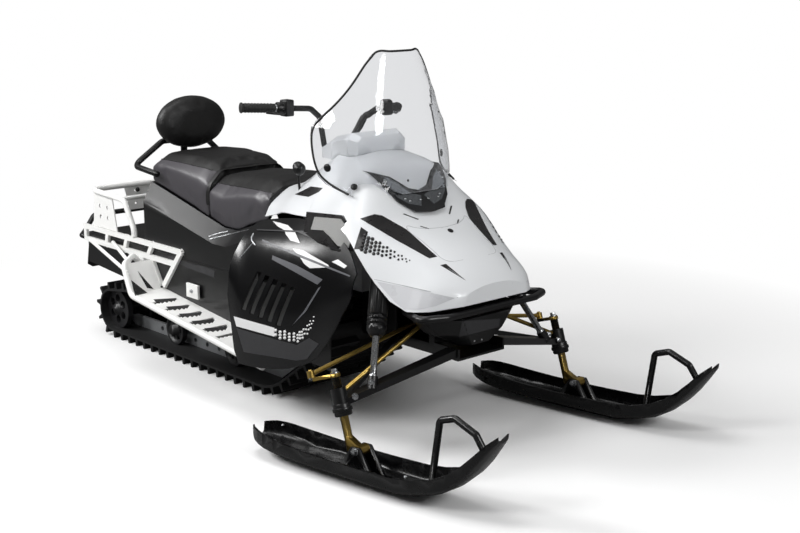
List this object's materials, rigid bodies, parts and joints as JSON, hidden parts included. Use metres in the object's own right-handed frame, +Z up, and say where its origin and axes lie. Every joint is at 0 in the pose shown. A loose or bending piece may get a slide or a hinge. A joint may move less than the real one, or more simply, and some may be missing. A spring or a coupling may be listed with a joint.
{
  "type": "snowmobile",
  "caption": "Two-seat utility snowmobile with steerable skis, a wide lugged track, windshield, backrest and rear rack.",
  "frame": {"origin": "on the ground under the middle of the machine's bounding box, in the plane that halves the machine", "axes": "+X forward, +Y to the machine's left, +Z up"},
  "size_m": [3.004, 1.41, 1.4031],
  "materials": {
    "rubber_track": "moulded",
    "grey_plastic": "moulded",
    "grey_aluminium": "satin",
    "black_aluminium": "powder coated",
    "black_steel": "satin powder coat",
    "white_panel": "gloss",
    "white_steel": "gloss paint",
    "black_gloss": "gloss",
    "black_plastic": "textured",
    "black_rubber": "matt",
    "seat_vinyl": "grained vinyl",
    "lamp_smoke": "smoked gloss",
    "clear_screen": "clear polycarbonate",
    "gold_metal": "gold anodised"
  },
  "bodies": {
    "chassis": {"track": "rubber_track", "rear_idlers": "grey_plastic", "drive_axle": "grey_plastic", "bogie_wheels": "grey_plastic", "slide_rails": "grey_aluminium", "skid_arms": "black_steel", "tunnel": "black_aluminium", "running_board_left": "white_panel", "running_board_right": "white_panel", "side_frames": "white_steel", "rear_rack": "white_steel", "rear_grab_bar": "black_steel", "snow_flap": "black_rubber", "seat_base": "black_plastic", "seat_front": "seat_vinyl", "seat_rear": "seat_vinyl", "backrest_pad": "seat_vinyl", "backrest_frame": "black_steel", "engine": "grey_aluminium", "bulkhead": "black_aluminium", "shock_tower": "black_steel", "hood": "white_panel", "headlamp": "lamp_smoke", "side_panel_right": "black_gloss", "side_panel_left": "black_gloss", "dash_pod": "white_panel", "windshield": "clear_screen", "nose_pan": "black_plastic", "front_bumper": "black_steel", "lower_arms": "black_steel", "upper_links": "gold_metal", "shocks": "black_steel", "console": "white_panel", "gear_lever": "black_plastic"},
    "handlebar": {"handlebar": "black_steel", "grips": "black_rubber", "bar_controls": "black_plastic"},
    "pitman_arm": {"pitman_arm": "black_steel"},
    "spindle_right": {"spindle_right": "gold_metal"},
    "spindle_left": {"spindle_left": "gold_metal"},
    "tie_rod_right": {"tie_rod_right": "gold_metal"},
    "tie_rod_left": {"tie_rod_left": "gold_metal"},
    "ski_right": {"ski_right": "black_plastic"},
    "ski_left": {"ski_left": "black_plastic"}
  },
  "joints": [
    {"name": "steering", "type": "hinge", "parent": "chassis", "child": "handlebar", "pos_m": [0.148, 0, 1.004], "axis": [-0.5, 0, 0.866], "range_deg": [-39, 21]},
    {"name": "pitman_turn", "type": "hinge", "parent": "chassis", "child": "pitman_arm", "pos_m": [0.77923, 0, 0.43], "axis": [-0.3156, 0, 0.9489], "range_deg": [-39, 21]},
    {"name": "right_kingpin", "type": "hinge", "parent": "chassis", "child": "spindle_right", "pos_m": [0.893, -0.559, 0.088], "axis": [-0.3156, 0, 0.9489], "range_deg": [-39, 21]},
    {"name": "right_rod_pin", "type": "hinge", "parent": "spindle_right", "child": "tie_rod_right", "pos_m": [0.7305, -0.59995, 0.32439], "axis": [-0.3156, 0, 0.9489], "range_deg": [-21, 39]},
    {"name": "right_ski_pivot", "type": "hinge", "parent": "spindle_right", "child": "ski_right", "pos_m": [0.93545, -0.55163, 0.10782], "axis": [-0.1484, 0.9877, -0.0494], "range_deg": [-15, 10]},
    {"name": "left_kingpin", "type": "hinge", "parent": "chassis", "child": "spindle_left", "pos_m": [0.893, 0.559, 0.088], "axis": [-0.3156, 0, 0.9489], "range_deg": [-39, 21]},
    {"name": "left_rod_pin", "type": "hinge", "parent": "spindle_left", "child": "tie_rod_left", "pos_m": [0.72219, 0.57336, 0.32163], "axis": [-0.3156, 0, 0.9489], "range_deg": [-21, 39]},
    {"name": "left_ski_pivot", "type": "hinge", "parent": "spindle_left", "child": "ski_left", "pos_m": [0.93545, 0.56637, 0.10782], "axis": [-0.1484, 0.9877, -0.0494], "range_deg": [-15, 10]}
  ],
  "couplings": [
    {"joint": "pitman_turn", "follows": "steering", "ratio": 1},
    {"joint": "right_kingpin", "follows": "steering", "ratio": 1},
    {"joint": "right_rod_pin", "follows": "steering", "ratio": -1},
    {"joint": "left_kingpin", "follows": "steering", "ratio": 1},
    {"joint": "left_rod_pin", "follows": "steering", "ratio": -1}
  ]
}
